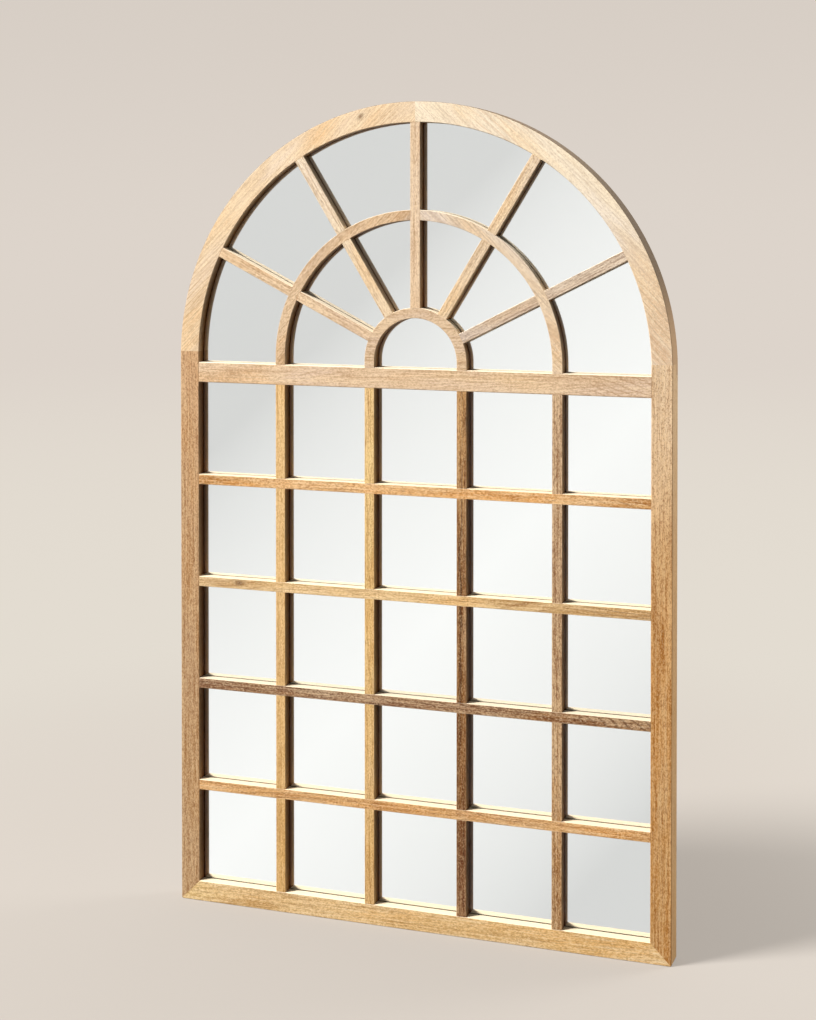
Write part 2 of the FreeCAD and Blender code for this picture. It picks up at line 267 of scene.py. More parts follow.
def shifted(tone, amount):
    # towards cream where amount is above zero, or darker and a little redder where below
    if amount > 0:
        share = min(amount / 100, 1)
        return colour(*(part + (end - part) * share for part, end in zip(tone, woodFinish["paleEnd"])))
    return colour(*(max(part + amount * gain, 8) for part, gain in zip(tone, (0.86, 1.0, 1.04))))


class Plank:
    # one board's own coordinates, noises and shades, which the steps below share

    def __init__(self, r, look):
        self.r = r
        self.look = look
        self.turn = math.radians(look["grain"])
        self.point = r.node("ShaderNodeTexCoord", output=3)
        self.plank = r.node("ShaderNodeMapping", inputs={"Vector": self.point, "Rotation": (0, self.turn, 0)})
        self.along, self.depth, self.across = r.apart(self.plank)
        self.drift = self.noise((2.2, 9, 9), 0, detail=2.0) - 0.5
        self.sway = self.noise((7.0, 34, 34), 4, detail=3.0) - 0.5
        self.fibre = self.noise((20, 270, 270), 0, detail=3.0, roughness=0.62) - 0.5
        self.fleck = self.noise((110, 330, 330), 2, detail=2.0, roughness=0.7) - 0.5
        self.pores = self.noise((70, 820, 820), 5, detail=1.0).between(0.60, 0.68)
        self.tone = woodTones[look["tone"]]
        spread = woodFinish["spread"] * look.get("contrast", 1.0)
        self.pale = shifted(self.tone, spread)
        self.deep = shifted(self.tone, -spread * 1.5)
        self.darkest = shifted(self.tone, -spread * 2.4)

    def noise(self, scale, shift, **kind):
        return self.r.noise(self.r.stretch(self.plank, scale, self.look["seed"] + shift), **kind)

    def placed(self, place):
        # a place on the face, given by x and z, along the grain and across it
        x, z = place
        level, steep = math.cos(self.turn), math.sin(self.turn)
        return (x * level + z * steep, z * level - x * steep)

    def near(self, spot, long, wide, wobble):
        # 1 at the spot, fading over its length and width with a wavering edge
        a, c = self.placed(spot["at"])
        da = (self.along - a) / long
        dc = (self.across - c) / wide
        return (da * da + dc * dc + wobble).fade()

    def fromArchCentre(self):
        da = self.along - archHeight * math.sin(self.turn)
        dc = self.across - archHeight * math.cos(self.turn)
        return (da * da + dc * dc).root()

    def edges(self):
        # the two long edges of a straight member, or both rims of a bent one
        if "bend" in self.look:
            off = abs(self.fromArchCentre() - self.look["bend"])
        else:
            off = abs(self.across - self.placed(self.look["centre"])[1])
        return off.between(self.look["halfWidth"] - woodFinish["edgeWidth"], self.look["halfWidth"])

    def outside(self):
        # the outer faces of the frame, at its full half-width or radius
        reach = self.fromArchCentre() if "bend" in self.look else abs(self.r.apart(self.point)[0])
        return reach.between(outerRadius - 0.0010, outerRadius - 0.0004)

    def aboveSpringing(self):
        height = self.along * math.sin(self.turn) + self.across * math.cos(self.turn)
        return (height - archHeight).between(0.02, 0.20)


def ringLines(p, knots):
    # rings round the heart of the log, pushed aside by the knots
    heartAcross, heartDepth = woodFinish["heart"]
    centre = p.placed(p.look["centre"])
    lean = p.look.get("lean", 0.03)
    u = p.across - (centre[1] + heartAcross) - (p.along - centre[0]) * lean + p.drift * 0.03
    v = p.depth - heartDepth - (p.along - centre[0]) * lean * 0.6 + p.drift * 0.02
    radius = (u * u + v * v).root() + p.sway * p.look.get("wild", 0.005)
    for near, knot in knots:
        radius = radius + near * knot["swirl"]
    rings = (radius * (2 * math.pi / woodFinish["ringPitch"]) + p.sway * 4).wave() * 0.5 + 0.5
    return rings ** 4.0


def boardTone(p, patches):
    # the board's own tone, from one end to the other, and its patches
    r, look = p.r, p.look
    base = colour(*p.tone)
    if "toneFar" in look:
        start, end = (p.placed(place)[0] for place in look["ends"])
        share = ((p.along - start) / (end - start) + p.drift * 0.5).clamped()
        base = r.mix(base, woodColour(look["toneFar"]), share)
    for near, patch in patches:
        base = r.mix(base, woodColour(patch["tone"]), near * patch.get("show", 0.7))
    red, green, blue = p.tone
    warmth = p.noise((4.5, 20, 20), 13, detail=2.0) - 0.5
    warm = colour(min(red * 1.01, 252), green * 0.93, blue * 0.80)
    cool = colour(red * 0.97, green, min(blue * 1.10, 250))
    base = r.mix(base, warm, warmth.between(0.0, 0.16) * 0.55)
    return r.mix(base, cool, (warmth * -1).between(0.0, 0.16) * 0.5)


def figured(p, base, lines):
    # broad clouds, fibre, ring lines, dark veins and hairs
    r, look = p.r, p.look
    broad = p.noise((3.6, 30, 30), 7, detail=3.0, roughness=0.6) - 0.5
    hair = p.noise((8, 380, 380), 6, detail=2.0, distortion=0.3)
    vein = p.noise((3.4, 80, 80), 11, detail=3.0, roughness=0.6)
    base = r.mix(base, p.pale, (broad * 2.4 + p.fibre * 1.1).between(0.0, 0.6) * 0.8)
    base = r.mix(base, p.deep, (broad * -2.4 - p.fibre * 1.3).between(0.0, 0.7) * 0.7)
    base = r.mix(base, p.deep, lines * look.get("ringShow", 0.3) * (p.fibre * 1.2 + 0.8).clamped())
    base = r.mix(base, p.darkest, vein.between(0.60, 0.72) * look.get("streakShow", 0.35))
    base = r.mix(base, p.deep, hair.between(0.54, 0.66) * 0.6)
    return r.mix(base, p.pale, hair.between(0.46, 0.34) * 0.6)


def marked(p, base, patches, knots):
    # dark streaks and knots, and patches whose figure is quiet
    for streak in p.look.get("streaks", []):
        a, c = p.placed(streak["at"])
        slope = math.radians(streak["slope"])
        near = p.near(streak, *streak["size"], p.sway * 0.6)
        line = ((p.along - a) * math.sin(slope) + (p.across - c) * math.cos(slope)) / streak["pitch"]
        dark = ((line + p.sway * 1.8) * (2 * math.pi)).wave().between(0.35, 1.0)
        base = p.r.mix(base, woodColour(streak["tone"]), near * dark * streak.get("show", 0.8))
    for near, knot in knots:
        base = p.r.mix(base, woodColour(knot["tone"]), (near ** 1.2) * knot["show"])
    for near, patch in patches:
        if "plain" in patch:
            base = p.r.mix(base, woodColour(patch["tone"]), near * patch["plain"])
    return base


def wornAndHighlit(p, base):
    # flecks, grit, open pores, and pale edges that are both wear and painted highlight
    r = p.r
    grit = p.noise((260, 480, 480), 9, detail=2.0, roughness=0.7) - 0.5
    base = r.mix(base, p.deep, p.fleck.between(0.0, 0.14) * woodFinish["flecks"])
    base = r.mix(base, p.pale, (p.fleck * -1).between(0.02, 0.16) * woodFinish["flecks"])
    base = r.mix(base, p.deep, grit.between(0.0, 0.13) * woodFinish["grit"])
    base = r.mix(base, p.pale, (grit * -1).between(0.02, 0.14) * woodFinish["grit"])
    base = r.mix(base, p.darkest, p.pores * p.look.get("poreShow", 0.45))
    if "halfWidth" in p.look:
        # pale edges: partly wear, partly a painted highlight of the eased edges
        base = r.mix(base, p.pale, p.edges() * 0.45)
    return base


def toned(p, base):
    # inner sides get painted shade from the face to the glass, the head's rim is toned, and other tops get
    # painted light
    r = p.r
    if p.look.get("stained"):
        # painted shade: the inner sides darken with depth towards the glass, where shade falls between the
        # bars
        inward = ((p.depth - frameFront - 0.0006) / 0.016).clamped() ** 0.8
        inside = (1 - p.outside()) * (1 - p.depth.between(glassBox[0][1], glassBox[0][1] + 0.001))
        share = inward * inside * woodFinish["sideShadeStrength"]
        base = r.mix(base, colour(*woodFinish["sideShadeTone"]), share, "MULTIPLY")
    if p.look.get("rim"):
        rim = r.mix(colour(*woodFinish["rimLow"]), colour(*woodFinish["rimHigh"]), p.aboveSpringing())
        return r.mix(base, rim, p.outside() * woodFinish["rimShow"])
    # painted light: upward faces are lightened towards a pale cream
    facing = r.apart(r.node("ShaderNodeTexCoord", output=1))[2]
    return r.mix(base, colour(*woodFinish["topPaintedTone"]), facing.between(0.3, 0.8) * woodFinish["topPaintedLight"])


def woodMaterial(name, look):
    material, r = newMaterial(name)
    p = Plank(r, look)
    knots = [(p.near(knot, knot["size"] * 1.8, knot["size"], p.sway * 0.6), knot)
             for knot in look.get("knots", [])]
    patches = [(p.near(patch, *patch["size"], p.sway * 0.9 + p.fibre * 0.8), patch)
               for patch in look.get("patches", [])]
    base = boardTone(p, patches)
    base = figured(p, base, ringLines(p, knots))
    base = marked(p, base, patches, knots)
    base = wornAndHighlit(p, base)
    base = toned(p, base)
    height = p.fibre * 0.7 - p.fleck.between(0.0, 0.2) * 0.5 - p.pores * 0.9
    shader = r.node("ShaderNodeBsdfPrincipled", inputs={
        "Base Color": base,
        "Roughness": woodFinish["gloss"] + p.fibre * 0.2 + p.pores * 0.14,
        "Normal": bumped(r, height, woodFinish["poreDepth"], 0.6),
        "IOR": 1.45,
        "Specular IOR Level": 0.12,
    })
    finishMaterial(r, shader)
    return material


frameHalf = 0.020
barHalf = 0.010
archBand = outerRadius - frameHalf
middleBand = middleBox[1][0] - barHalf
innerBand = innerBox[1][0] - barHalf


def board(node, tone, grain, seed, half=barHalf, **more):
    # a straight member; its ends are where the grain enters and leaves its box
    low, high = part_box(node)
    x, z = (low[0] + high[0]) / 2, (low[2] + high[2]) / 2
    turn = math.radians(grain)
    reach = max(high[0] - low[0], high[2] - low[2]) / 2
    ends = [(x - side * reach * math.cos(turn), z - side * reach * math.sin(turn)) for side in (1, -1)]
    for mark in more.get("knots", []) + more.get("patches", []) + more.get("streaks", []):
        run, aside = mark["at"]
        mark["at"] = (run, z + aside) if grain == 0 else (x + aside, run)
    return {"tone": tone, "grain": grain, "seed": seed, "centre": (x, z), "ends": ends,
            "halfWidth": half, **more}


def bentBoard(tone, grain, band, half, centre, seed, **more):
    return {"tone": tone, "grain": grain, "seed": seed, "centre": centre, "bend": band, "halfWidth": half,
            "stained": True, **more}


def spot(at, size, tone, **more):
    # on a straight board at x, or z if it is upright, and aside of its middle; on a bent one at x and z
    return {"at": at, "size": size, "tone": tone, **more}


# What each member is cut from; one whose tone changes names the tone at the far end
# of its grain as well.
members = {
    "left_stile": board("left_stile", "tan", 90, 3.1, frameHalf, contrast=1.15, toneFar="fawn",
        stained=True,
        patches=[spot((1.08, 0), (0.14, 0.06), "sand", show=0.8, plain=0.5)]),
    "right_stile": board("right_stile", "amber", 90, 8.4, frameHalf, contrast=1.15, toneFar="wheat",
        stained=True,
        patches=[spot((1.06, 0), (0.20, 0.06), "cream", show=0.9, plain=0.6)]),
    "bottom_rail": board("bottom_rail", "straw", 0, 5.7, frameHalf, contrast=1.4, toneFar="honey", lean=0.05,
        patches=[spot((-0.47, 0), (0.05, 0.03), "corn")]),
    "transom": board("transom", "oat", 0, 11.3, frameHalf, lean=0.07, wild=0.009, ringShow=0.55,
        knots=[
            spot((-0.385, 0), 0.011, "hazel", swirl=0.022, show=0.5),
            spot((-0.43, -0.008), 0.008, "hazel", swirl=0.014, show=0.4),
        ],
        streaks=[spot((0.40, 0), (0.09, 0.05), "hazel", slope=18, pitch=0.010, show=0.6)],
        patches=[spot((0.13, 0), (0.10, 0.03), "straw")]),
    "row_bar_4": board("row_bar_4", "wheat", 0, 14.2, contrast=1.6, streakShow=0.7,
        streaks=[
            spot((0.44, 0), (0.10, 0.03), "chestnut", slope=12, pitch=0.009, show=0.6),
            spot((-0.44, 0), (0.07, 0.03), "chestnut", slope=-10, pitch=0.010, show=0.6),
        ],
        patches=[
            spot((-0.42, 0), (0.08, 0.03), "amber"),
            spot((0.43, 0), (0.10, 0.03), "caramel"),
        ]),
    "row_bar_3": board("row_bar_3", "straw", 0, 17.9, contrast=1.4,
        knots=[spot((-0.372, 0.002), 0.0060, "walnut", swirl=0.014, show=1.0)],
        streaks=[
            spot((0.22, 0), (0.05, 0.03), "chestnut", slope=-16, pitch=0.020),
            spot((0.42, 0), (0.12, 0.03), "umber", slope=4, pitch=0.007, show=0.6),
            spot((-0.36, 0), (0.06, 0.03), "chestnut", slope=-8, pitch=0.009, show=0.6),
        ],
        patches=[
            spot((-0.42, 0), (0.10, 0.03), "tan", show=0.85),
            spot((0.42, 0), (0.12, 0.03), "tan", show=0.9),
        ]),
    "row_bar_2": board("row_bar_2", "hazel", 0, 21.5, toneFar="tan", streakShow=0.9, contrast=1.7,
        patches=[
            spot((0.26, 0), (0.05, 0.02), "chestnut"),
            spot((0.12, 0), (0.06, 0.03), "tan"),
        ],
        streaks=[
            spot((0.41, 0), (0.10, 0.04), "umber", slope=38, pitch=0.014),
            spot((0.06, 0), (0.16, 0.04), "umber", slope=7, pitch=0.009, show=0.6),
            spot((-0.30, 0), (0.22, 0.04), "umber", slope=3, pitch=0.008, show=0.6),
        ]),
    "row_bar_1": board("row_bar_1", "wheat", 0, 24.8, contrast=1.6, toneFar="caramel",
        streaks=[
            spot((-0.26, 0), (0.12, 0.03), "chestnut", slope=-5, pitch=0.011, show=0.6),
            spot((0.18, 0), (0.10, 0.03), "chestnut", slope=4, pitch=0.012, show=0.5),
        ]),
    "column_bar_1": board("column_bar_1", "honey", 90, 27.3, toneFar="straw", stained=True),
    "column_bar_2": board("column_bar_2", "honey", 90, 30.6, contrast=1.2, toneFar="corn", stained=True),
    "column_bar_3": board("column_bar_3", "chestnut", 90, 33.2, contrast=1.3, streakShow=0.9, stained=True,
        streaks=[
            spot((0.62, 0.002), (0.34, 0.03), "bog", slope=0.8, pitch=0.017),
            spot((0.12, 0), (0.14, 0.03), "umber", slope=-1.5, pitch=0.012),
        ],
        patches=[
            spot((0.98, 0), (0.16, 0.03), "caramel", show=0.95),
            spot((0.10, 0), (0.10, 0.03), "hazel"),
        ]),
    "column_bar_4": board("column_bar_4", "tan", 90, 36.9, contrast=1.4, toneFar="biscuit", poreShow=0.7,
        stained=True),
    "centre_spoke": board("centre_spoke", "oat", 90, 40.1, toneFar="shell", stained=True),
    "left_arch": bentBoard("cream", 45, archBand, frameHalf, (-0.30, 1.42), 43.4, contrast=0.8,
        ringShow=0.5, rim=True,
        knots=[spot((-0.112, 1.573), 0.0046, "umber", swirl=0.03, show=1.0)],
        patches=[
            spot((-0.19, 1.535), (0.05, 0.03), "wheat"),
            spot((-0.45, 1.20), (0.12, 0.06), "biscuit"),
        ],
        streaks=[
            spot((-0.45, 1.22), (0.16, 0.09), "tan", slope=2, pitch=0.0075, show=0.6),
            spot((-0.07, 1.575), (0.06, 0.05), "fawn", slope=6, pitch=0.0085, show=0.6),
        ]),
    "right_arch": bentBoard("milk", 135, archBand, frameHalf, (0.30, 1.42), 46.8, contrast=0.8, rim=True,
        patches=[
            spot((0.08, 1.575), (0.05, 0.03), "straw", show=0.6),
            spot((0.46, 1.18), (0.14, 0.12), "sand", show=1.0, plain=0.35),
        ],
        streaks=[
            spot((0.46, 1.18), (0.13, 0.09), "chestnut", slope=3, pitch=0.0100, show=0.5),
            spot((0.17, 1.55), (0.10, 0.05), "sand", slope=-4, pitch=0.010, show=0.5),
        ]),
    "middle_arch_left": bentBoard("biscuit", 45, middleBand, barHalf, (-0.20, 1.30), 50.2, contrast=1.1,
        patches=[spot((-0.03, 1.38), (0.06, 0.08), "dust", show=0.9)]),
    "middle_arch_right": bentBoard("shell", 135, middleBand, barHalf, (0.20, 1.30), 53.7,
        patches=[spot((0.28, 1.14), (0.06, 0.05), "wheat", show=0.8)]),
    "inner_arch": bentBoard("biscuit", 0, innerBand, barHalf, (0.0, 1.15), 57.1),
    "upper_left_spoke": board("upper_left_spoke", "cream", 121.6, 60.5, contrast=1.3, toneFar="milk",
        stained=True),
    "upper_right_spoke": board("upper_right_spoke", "cream", 58.4, 63.9, contrast=1.3, toneFar="shell",
        stained=True),
    "lower_left_spoke": board("lower_left_spoke", "oat", 153.2, 67.2, contrast=1.2, toneFar="cream"),
    "lower_right_spoke": board("lower_right_spoke", "ash", 26.8, 70.6, contrast=1.4, toneFar="shell",
        streakShow=0.6),
}
splineBoard = {"tone": "fawn", "grain": 45, "centre": (0.48, 0.02), "seed": 74.0}


def dress(node, material):
    nodes[node].data.materials.clear()
    nodes[node].data.materials.append(material)


splines = ("mitre_splines", "springing_splines", "crown_spline")
for name, look in members.items():
    dress(name, woodMaterial(name + "_wood", look))
for name in splines:
    dress(name, woodMaterial(name + "_wood", splineBoard))
print("wood on", len(members) + len(splines), "nodes")


# Mirror: a clear sheet with the silver on a thin layer at its back

mirrorLook = {
    "silverDepth": 0.0003,    # in front of the sheet's back face
    "silverThick": 0.0001,
    "tint": (0.988, 0.99, 0.984, 1),
    "archSteps": 96,
    "inset": 0.0004,          # of the silver from the sheet's edges
    "silverPale": (248, 249, 247),
    "silverDim": (245, 246, 244),
}


def glassMaterial():
    material, r = newMaterial("clear_glass")
    point = r.node("ShaderNodeTexCoord", output=3)
    film = r.noise(r.stretch(point, (3, 3, 3), 2.0), detail=3.0).between(0.45, 0.8)
    shader = r.node("ShaderNodeBsdfPrincipled", inputs={
        "Base Color": mirrorLook["tint"],
        "Roughness": film * 0.004,
        "IOR": 1.5,
        "Transmission Weight": 1.0,
    })
    finishMaterial(r, shader)
    return material


def silverMaterial():
    material, r = newMaterial("silvering")
    point = r.node("ShaderNodeTexCoord", output=3)
    cloud = r.noise(r.stretch(point, (2, 2, 2), 5.0), detail=2.0)
    shade = r.mix(colour(*mirrorLook["silverPale"]), colour(*mirrorLook["silverDim"]), cloud)
    shader = r.node("ShaderNodeBsdfPrincipled", inputs={
        "Base Color": shade,
        "Metallic": 1.0,
        "Roughness": cloud * 0.004,
    })
    finishMaterial(r, shader)
    return material


def arched(name, halfWidth, base, front, back, steps):
    # a flat sheet with a half-round head, as a closed solid
    rim = [(-halfWidth, base), (halfWidth, base)]
    for i in range(steps + 1):
        turn = math.pi * i / steps
        rim.append((halfWidth * math.cos(turn), archHeight + halfWidth * math.sin(turn)))
    shape = bmesh.new()
    near = [shape.verts.new((x, front, z)) for x, z in rim]
    far = [shape.verts.new((x, back, z)) for x, z in rim]
    shape.faces.new(near)
    shape.faces.new(far[::-1])
    for i in range(len(rim)):
        j = (i + 1) % len(rim)
        shape.faces.new((near[i], far[i], far[j], near[j]))
    return plainObject(name, shape)


silverBack = glassBox[1][1] - mirrorLook["silverDepth"]
inset = mirrorLook["inset"]
silvering = arched("silvering", glassBox[1][0] - inset, glassBox[0][2] + inset,
                   silverBack - mirrorLook["silverThick"], silverBack, mirrorLook["archSteps"])
silvering.data.materials.append(silverMaterial())
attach(silvering, "frame")
dress("mirror_glass", glassMaterial())
print("mirror")


# Back board and steel

fibreboardTones = {0.32: (112, 82, 54), 0.50: (148, 113, 78), 0.70: (178, 143, 104)}


def fibreboardMaterial():
    material, r = newMaterial("fibreboard")
    point = r.node("ShaderNodeTexCoord", output=3)
    flock = r.noise(r.stretch(point, (420, 420, 420), 1.0), detail=3.0, roughness=0.7)
    flake = r.noise(r.stretch(point, (60, 60, 190), 3.0), detail=3.0)
    cloud = r.noise(r.stretch(point, (4, 4, 4), 6.0), detail=2.0)
    stops = [(place, colour(*tone)) for place, tone in fibreboardTones.items()]
    base = r.node("ShaderNodeValToRGB", {"stops": stops}, {0: flock * 0.6 + flake * 0.25 + cloud * 0.18})
    normal = bumped(r, flock + flake * 0.5, 0.0002, 0.5)
    shader = r.node("ShaderNodeBsdfPrincipled", inputs={
        "Base Color": base,
        "Roughness": 0.78 + (flock - 0.5) * 0.2,
        "Normal": normal,
    })
    finishMaterial(r, shader)
    return material


def steelMaterial(name, dim, bright, grain):
    # zinc-plated steel with a fine brushed grain and a cloudy bloom
    material, r = newMaterial(name)
    point = r.node("ShaderNodeTexCoord", output=3)
    brush = r.noise(r.stretch(point, grain, 1.0), detail=2.0)
    bloom = r.noise(r.stretch(point, (300, 300, 300), 4.0), detail=3.0)
    stops = [(0.35, colour(*dim)), (0.65, colour(*bright))]
    base = r.node("ShaderNodeValToRGB", {"stops": stops}, {0: bloom * 0.7 + brush * 0.3})
    shader = r.node("ShaderNodeBsdfPrincipled", inputs={
        "Base Color": base,
        "Metallic": 1.0,
        "Roughness": 0.30 + brush * 0.14 + bloom * 0.08,
        "Normal": bumped(r, brush, 0.00003, 0.5),
    })
    finishMaterial(r, shader)
    return material


steel = steelMaterial("zinc_plate", (158, 158, 154), (204, 205, 204), (2600, 2600, 260))
ringSteel = steelMaterial("ring_wire", (168, 168, 166), (214, 215, 214), (260, 2600, 2600))
screwSteel = steelMaterial("screw_zinc", (150, 148, 138), (200, 198, 186), (2600, 260, 2600))
dress("back_board", fibreboardMaterial())
for name in ("board_tabs", "left_hanger_strap", "right_hanger_strap"):
    dress(name, steel)
print("back board and steel")


# Screws and rings: one screw of each kind is turned and set at every hole. Each ring's
# wire is swept along its own D-shaped path.

screwKinds = {
    "lap_screws": {"head": 0.0040, "shank": 0.0020, "headHeight": 0.0022, "length": 0.030, "domed": False},
    "strap_screws": {"head": 0.0032, "shank": 0.00175, "headHeight": 0.0016, "length": 0.0172, "domed": True},
}
crossLook = {"arm": 0.52, "width": 0.2, "depth": 0.75, "taper": 0.55}    # shares of the head's sizes
ringLook = {
    "wire": 0.0015,           # half the wire's thickness
    "halfWidth": 0.010,
    "leg": 0.008,
    "corner": 0.0025,
    "pinInset": 0.00278,      # from the eye's outside to the middle of the ring's bar
    "tilt": 1.0,              # degrees that it stands off the strap
    "round": 24,
    "turnSteps": 10,
    "bowSteps": 40,
}
turnSteps = 40


def evaluated(source, name):
    # the object's mesh with its modifiers worked in, as a plain object of its own
    seen = source.evaluated_get(bpy.context.evaluated_depsgraph_get())
    mesh = bpy.data.meshes.new_from_object(seen)
    mesh.name = name
    made = bpy.data.objects.new(name, mesh)
    bpy.context.scene.collection.objects.link(made)
    source.modifiers.clear()
    bpy.data.objects.remove(source)
    return made


def turnedScrew(kind):
    # the axis runs along +Y from the head's seat at the origin into the wood at -Y
    head, shank, rise, length = kind["head"], kind["shank"], kind["headHeight"], kind["length"]
    if kind["domed"]:
        dome = [(head * math.cos(a), rise * math.sin(a)) for a in (math.pi / 2 * i / 8 for i in range(9))]
        section = dome[::-1] + [(shank, 0.0)]
    else:
        section = [(0.0, 0.0), (head - 0.0002, 0.0), (head, -0.0002), (shank, -rise)]
    section += [(shank, shank * 1.5 - length), (0.0, -length)]
    shape = bmesh.new()
    loops = []
    for radius, y in section:
        if radius < 1e-7:
            loops.append([shape.verts.new((0, y, 0))])
            continue
        loops.append([shape.verts.new((radius * math.cos(a), y, radius * math.sin(a)))
                      for a in (2 * math.pi * i / turnSteps for i in range(turnSteps))])
    for first, second in zip(loops, loops[1:]):
        for i in range(turnSteps):
            j = (i + 1) % turnSteps
            corners = [first[i % len(first)], first[j % len(first)]]
            corners += [second[j % len(second)], second[i % len(second)]]
            shape.faces.new(list(dict.fromkeys(corners)))
    return plainObject("turned_screw", shape)


def crossCutter(kind):
    # two crossed wedges, narrower at their foot
    top = kind["headHeight"] * 1.2 if kind["domed"] else 0.0004
    foot = top - kind["headHeight"] * crossLook["depth"] - 0.0006
    shape = bmesh.new()
    for turn in (0, math.pi / 2):
        rings = []
        for y, share in ((top, 1.0), (foot, crossLook["taper"])):
            arm = kind["head"] * crossLook["arm"] * share
            wide = kind["head"] * crossLook["width"] / 2 * share
            corners = [(arm, wide), (-arm, wide), (-arm, -wide), (arm, -wide)]
            rings.append([shape.verts.new((a * math.cos(turn) - b * math.sin(turn), y,
                                           a * math.sin(turn) + b * math.cos(turn))) for a, b in corners])
        for i in range(4):
            j = (i + 1) % 4
            shape.faces.new((rings[0][i], rings[0][j], rings[1][j], rings[1][i]))
        shape.faces.new(rings[0])
        shape.faces.new(rings[1][::-1])
    return plainObject("cross_cutter", shape)


def crossedScrew(kind):
    screw = turnedScrew(kind)
    cutter = crossCutter(kind)
    cut = screw.modifiers.new("cross", "BOOLEAN")
    cut.operation = "DIFFERENCE"
    cut.object = cutter
    cut.solver = "EXACT"
    cut.use_self = True
    made = evaluated(screw, "crossed_screw")
    bpy.data.objects.remove(cutter)
    return made


def newTree(name, inputs):
    tree = bpy.data.node_groups.new(name, "GeometryNodeTree")
    tree.interface.new_socket("Geometry", in_out="INPUT", socket_type="NodeSocketGeometry")
    for label, kind in inputs.items():
        tree.interface.new_socket(label, in_out="INPUT", socket_type=kind)
    tree.interface.new_socket("Geometry", in_out="OUTPUT", socket_type="NodeSocketGeometry")
    r = Recipe(tree)
    entry = tree.nodes.new("NodeGroupInput")
    return tree, r, {socket.name: Wire(tree, socket) for socket in entry.outputs if socket.name}


def worked(source, tree, values, name):
    # the tree's inputs are set by identifier, then its result becomes a plain mesh
    modifier = source.modifiers.new("build", "NODES")
    modifier.node_group = tree
    for item in tree.interface.items_tree:
        if item.in_out == "INPUT" and item.name in values:
            modifier[item.identifier] = values[item.name]
    source.update_tag()
    return evaluated(source, name)


def screwTree():
    tree, r, given = newTree("screws", {"Screw": "NodeSocketObject", "Seed": "NodeSocketInt",
                                        "Material": "NodeSocketMaterial"})
    points = r.node("GeometryNodeMeshToPoints", inputs={0: given["Geometry"]})
    screw = r.node("GeometryNodeObjectInfo", inputs={"Object": given["Screw"]}, output=4)
    bounds = {2: 0.0, 3: math.pi / 2, 8: given["Seed"]}
    turn = r.node("FunctionNodeRandomValue", {"data_type": "FLOAT"}, bounds, 1)
    spin = r.node("ShaderNodeCombineXYZ", inputs={1: turn})
    inputs = {"Points": points, "Instance": screw, "Rotation": spin}
    placed = r.node("GeometryNodeInstanceOnPoints", inputs=inputs)
    solid = r.node("GeometryNodeRealizeInstances", inputs={0: placed})
    coated = r.node("GeometryNodeSetMaterial", inputs={"Geometry": solid, "Material": given["Material"]})
    r.node("NodeGroupOutput", inputs={0: coated})
    return tree


def ringTree():
    tree, r, given = newTree("ring", {"Wire Radius": "NodeSocketFloat", "Round": "NodeSocketInt",
                                      "Material": "NodeSocketMaterial"})
    path = r.node("GeometryNodeMeshToCurve", inputs={0: given["Geometry"]})
    section = r.node("GeometryNodeCurvePrimitiveCircle", {"mode": "RADIUS"},
                     {"Resolution": given["Round"], "Radius": given["Wire Radius"]})
    swept = r.node("GeometryNodeCurveToMesh", inputs={"Curve": path, "Profile Curve": section})
    smooth = r.node("GeometryNodeSetShadeSmooth", inputs={0: swept, "Shade Smooth": True})
    solid = r.node("GeometryNodeRealizeInstances", inputs={0: smooth})
    coated = r.node("GeometryNodeSetMaterial", inputs={"Geometry": solid, "Material": given["Material"]})
    r.node("NodeGroupOutput", inputs={0: coated})
    return tree


def pointCloud(name, places, closed=False):
    shape = bmesh.new()
    corners = [shape.verts.new(place) for place in places]
    if closed:
        for first, second in zip(corners, corners[1:] + corners[:1]):
            shape.edges.new((first, second))
    return plainObject(name, shape)


def screwSeats(node, kind):
    # where each screw of a group sits: at the outer corners of the group's box, at the head's seat
    low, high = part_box(node)
    seat = high[1] - (kind["headHeight"] if kind["domed"] else 0.0)
    half = kind["head"]
    if node == "lap_screws":
        heights = [high[2] - half]
    else:
        heights = [high[2] - half, low[2] + half]
    return [(x, seat, z) for x in (low[0] + half, high[0] - half) for z in heights]


screws = screwTree()
for number, (node, kind) in enumerate(screwKinds.items()):
    screw = crossedScrew(kind)
    cloud = pointCloud(node + "_seats", screwSeats(node, kind))
    inputs = {"Screw": screw, "Seed": 3 + number, "Material": screwSteel}
    made = worked(cloud, screws, inputs, "turned_" + node)
    bpy.data.objects.remove(screw)
    for polygon in made.data.polygons:
        polygon.use_smooth = False
    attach(made, "frame")
    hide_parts(node)


def ringPath(side):
    # the D: a straight bar in the eye, rounded corners, two legs and a half-round bow
    wide, leg, bend = ringLook["halfWidth"], ringLook["leg"], ringLook["corner"]
    quarter = [math.pi / 2 * i / ringLook["turnSteps"] for i in range(ringLook["turnSteps"] + 1)]
    half = [math.pi * i / ringLook["bowSteps"] for i in range(ringLook["bowSteps"] + 1)]
    corner = [(wide - bend + bend * math.sin(a), bend * math.cos(a) - bend) for a in quarter]
    bow = [(wide * math.cos(a), -leg - wide * math.sin(a)) for a in half]
    flat = corner + bow + [(-x, z) for x, z in corner[::-1]]
    low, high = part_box(side + "_hanger_strap")
    pin = ((low[0] + high[0]) / 2, high[1] - ringLook["pinInset"], high[2] - ringLook["pinInset"])
    tilt = math.radians(ringLook["tilt"])
    return [(pin[0] + x, pin[1] - z * math.sin(tilt), pin[2] + z * math.cos(tilt)) for x, z in flat]


rings = ringTree()
for side in ("left", "right"):
    path = pointCloud(side + "_path", ringPath(side), closed=True)
    inputs = {"Wire Radius": ringLook["wire"], "Round": ringLook["round"], "Material": ringSteel}
    made = worked(path, rings, inputs, side + "_swept_ring")
    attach(made, side + "_ring")
    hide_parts(side + "_hanger_ring")
print("screws and rings")


# Studio: pale floor and backdrop, a large soft lamp to the left and a dim right front

